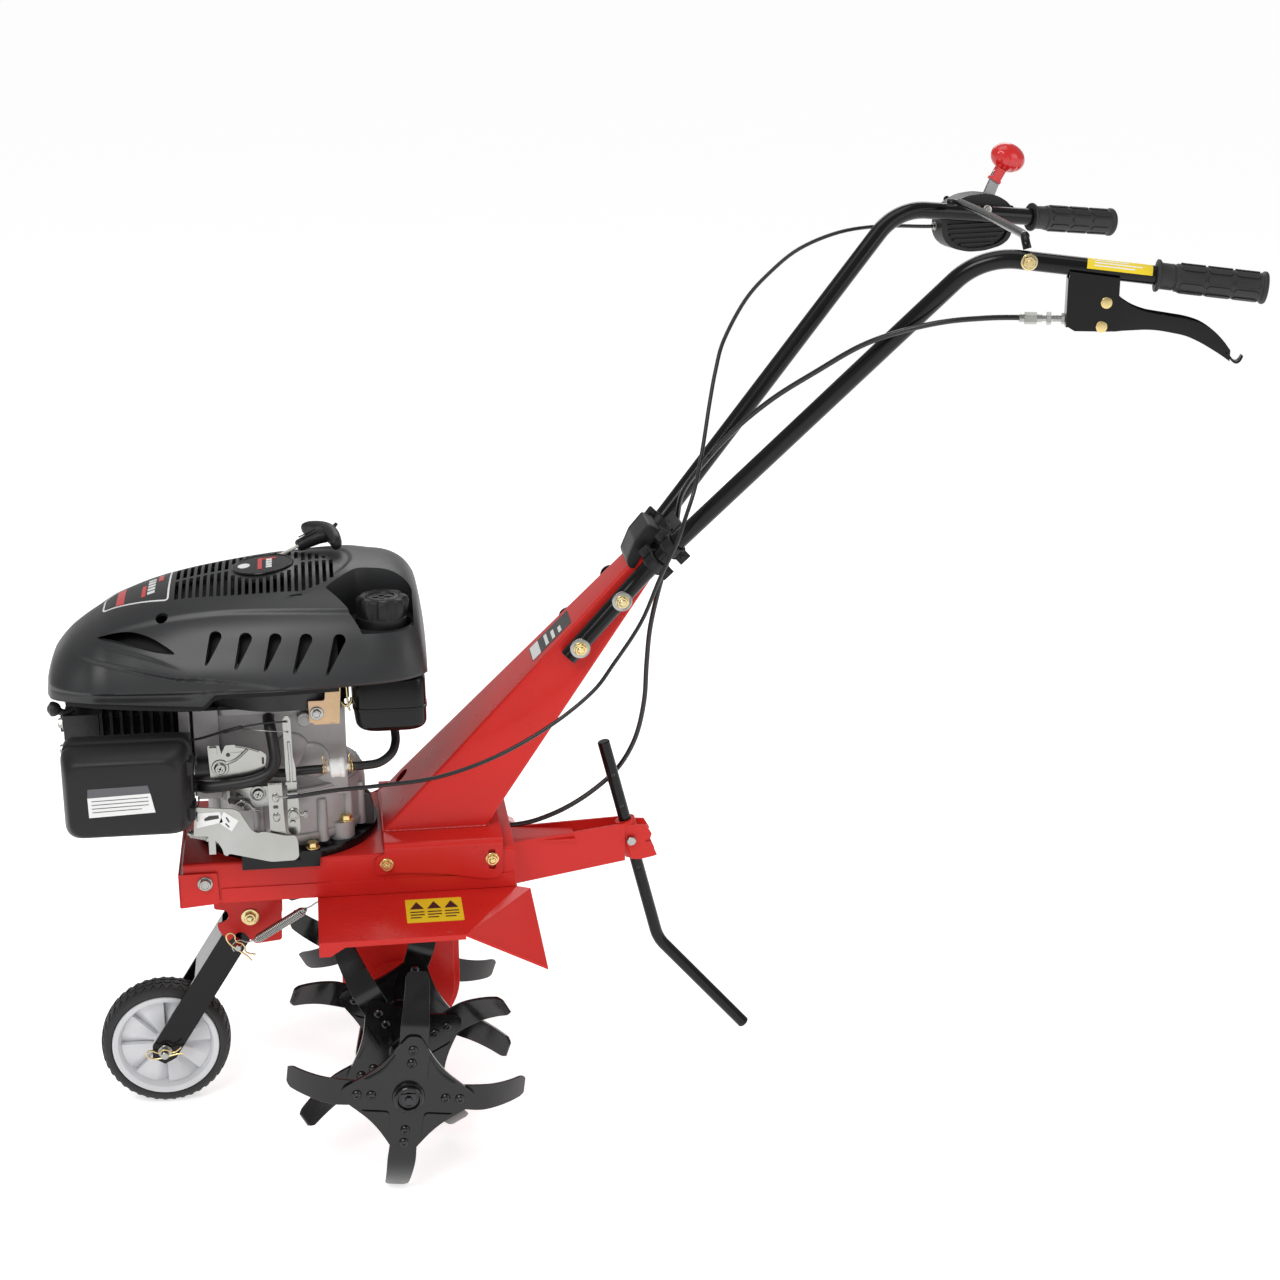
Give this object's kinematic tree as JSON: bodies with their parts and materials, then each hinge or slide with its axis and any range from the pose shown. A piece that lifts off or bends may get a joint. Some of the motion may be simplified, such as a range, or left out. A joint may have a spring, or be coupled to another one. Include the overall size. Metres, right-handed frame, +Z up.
{
  "type": "tiller",
  "caption": "Petrol garden tiller: engine on a channel frame, rotary tines beneath, front transport wheel, steering column with twin handlebars, drag stake.",
  "frame": {"origin": "on the ground, under the middle of the machine's length, in its centre plane", "axes": "+X from the front wheel towards the handle grips, +Y to the side of the throttle lever, +Z up"},
  "size_m": [1.4092, 0.632, 1.1777],
  "materials": {
    "red_paint": "gloss powder coat",
    "black_paint": "gloss black enamel",
    "tine_paint": "black enamel over forged steel",
    "cast_alloy": "as cast, bead blasted",
    "dark_alloy": "dark coated casting",
    "zinc_steel": "bright zinc plate",
    "gold_zinc": "yellow passivated zinc",
    "ground_steel": "ground",
    "chrome": "plated",
    "cowl_plastic": "fine moulded texture",
    "black_plastic": "moulded",
    "red_plastic": "moulded",
    "rim_plastic": "moulded grey",
    "white_plastic": "translucent moulded",
    "tyre_rubber": "solid rubber",
    "grip_rubber": "soft moulded",
    "hose_rubber": "extruded",
    "cable_sheath": "extruded sheath",
    "rope_fibre": "braided cord"
  },
  "bodies": {
    "chassis": {"deck": "red_paint", "wheel_bracket": "red_paint", "hitch": "red_paint", "chain_case_left": "red_paint", "chain_case_right": "red_paint", "shaft_seals": "grip_rubber", "gearbox": "cast_alloy", "tine_guards": "red_paint", "engine_base": "black_paint", "crankcase": "cast_alloy", "cylinder_head": "dark_alloy", "muffler": "dark_alloy", "engine_cowl": "cowl_plastic", "starter_cover": "cowl_plastic", "fuel_tank": "black_plastic", "engine_hoses": "hose_rubber", "fuel_filter": "white_plastic", "air_cleaner_base": "cowl_plastic", "air_cleaner_cover": "cowl_plastic", "carburettor": "cast_alloy", "control_bracket": "zinc_steel", "control_shield": "zinc_steel", "frame_bolts": "gold_zinc", "lock_spring": "zinc_steel", "drive_belt": "hose_rubber", "drive_chain": "ground_steel"},
    "engine_shaft": {"crankshaft": "ground_steel", "flywheel": "dark_alloy"},
    "gear_input": {"input_shaft": "ground_steel"},
    "gear_middle": {"countershaft": "ground_steel"},
    "belt_tensioner": {"tension_arm": "ground_steel"},
    "governor": {"governor_arm": "zinc_steel"},
    "tine_rotor": {"tine_shaft": "ground_steel", "tine_hubs": "tine_paint", "tine_blades": "tine_paint", "tine_bolts": "ground_steel"},
    "wheel_arm": {"wheel_fork": "black_paint", "fork_pins": "zinc_steel", "r_clips": "gold_zinc"},
    "front_wheel": {"wheel_rim": "rim_plastic", "tyre": "tyre_rubber"},
    "column": {"steering_column": "red_paint", "handlebar_left": "black_paint", "handlebar_right": "black_paint", "handle_grips": "grip_rubber", "cable_clip": "black_plastic", "handle_bolts": "gold_zinc", "crossbar": "black_paint", "clutch_bracket": "black_paint", "throttle_housing": "black_plastic", "cable_adjuster": "zinc_steel", "throttle_cable": "cable_sheath", "clutch_cable": "cable_sheath"},
    "throttle": {"throttle_lever": "chrome", "throttle_knob": "red_plastic"},
    "clutch": {"clutch_lever": "black_paint"},
    "stake": {"drag_stake": "black_paint"},
    "starter": {"starter_handle": "cowl_plastic", "starter_rope": "rope_fibre"},
    "cap": {"fuel_cap": "black_plastic"}
  },
  "joints": [
    {"name": "tine_spin", "type": "hinge", "parent": "chassis", "child": "tine_rotor", "pos_m": [-0.2966, 0, 0.14364], "axis": [0, 1, 0], "continuous": true},
    {"name": "countershaft_spin", "type": "hinge", "parent": "chassis", "child": "gear_middle", "pos_m": [-0.2966, 0, 0.282], "axis": [0, 1, 0], "continuous": true},
    {"name": "input_shaft_spin", "type": "hinge", "parent": "chassis", "child": "gear_input", "pos_m": [-0.3226, 0.012, 0.338], "axis": [0, 0, 1], "continuous": true},
    {"name": "crankshaft_spin", "type": "hinge", "parent": "chassis", "child": "engine_shaft", "pos_m": [-0.4266, 0, 0.5], "axis": [0, 0, 1], "continuous": true},
    {"name": "wheel_fork_swing", "type": "hinge", "parent": "chassis", "child": "wheel_arm", "pos_m": [-0.4796, 0, 0.267], "axis": [0, 1, 0], "range_deg": [0, 70], "deforming": ["lock_spring"]},
    {"name": "front_wheel_spin", "type": "hinge", "parent": "wheel_arm", "child": "front_wheel", "pos_m": [-0.5966, 0, 0.083], "axis": [0, 1, 0], "continuous": true},
    {"name": "column_tilt", "type": "hinge", "parent": "chassis", "child": "column", "pos_m": [-0.3076, 0, 0.357], "axis": [0, 1, 0], "range_deg": [-3.5, 3.5], "deforming": ["throttle_cable", "clutch_cable"]},
    {"name": "throttle_swing", "type": "hinge", "parent": "column", "child": "throttle", "pos_m": [0.51317, 0.25411, 1.083], "axis": [-0.2113, 0.9774, 0], "range_deg": [-55, 8]},
    {"name": "governor_swing", "type": "hinge", "parent": "chassis", "child": "governor", "pos_m": [-0.4186, -0.145, 0.434], "axis": [0, 1, 0], "range_deg": [-8.5, 1.5]},
    {"name": "clutch_squeeze", "type": "hinge", "parent": "column", "child": "clutch", "pos_m": [0.5254, -0.22783, 1.055], "axis": [-0.2113, -0.9774, 0], "range_deg": [0, 15], "stiffness_Nm_per_rad": 2, "springref_deg": -28.65},
    {"name": "tension_arm_swing", "type": "hinge", "parent": "chassis", "child": "belt_tensioner", "pos_m": [-0.4146, -0.084, 0.35], "axis": [0, 0, 1], "range_deg": [0, 8]},
    {"name": "drag_stake_slide", "type": "slide", "parent": "chassis", "child": "stake", "axis": [0.2464, 0, -0.9692], "range_m": [-0.045, 0.09]},
    {"name": "starter_pull", "type": "slide", "parent": "chassis", "child": "starter", "axis": [0.8667, 0.4042, 0.2924], "range_m": [0, 0.5], "stiffness_N_per_m": 20, "springref_m": -0.3, "deforming": ["starter_rope"]},
    {"name": "fuel_cap_turn", "type": "hinge", "parent": "chassis", "child": "cap", "pos_m": [-0.3016, -0.088, 0.67], "axis": [0, 0, 1], "range_deg": [0, 90]}
  ],
  "couplings": [
    {"joint": "countershaft_spin", "follows": "tine_spin", "ratio": 2},
    {"joint": "input_shaft_spin", "follows": "tine_spin", "ratio": 32},
    {"joint": "governor_swing", "follows": "throttle_swing", "ratio": 0.15},
    {"joint": "tension_arm_swing", "follows": "clutch_squeeze", "ratio": 0.5333}
  ]
}
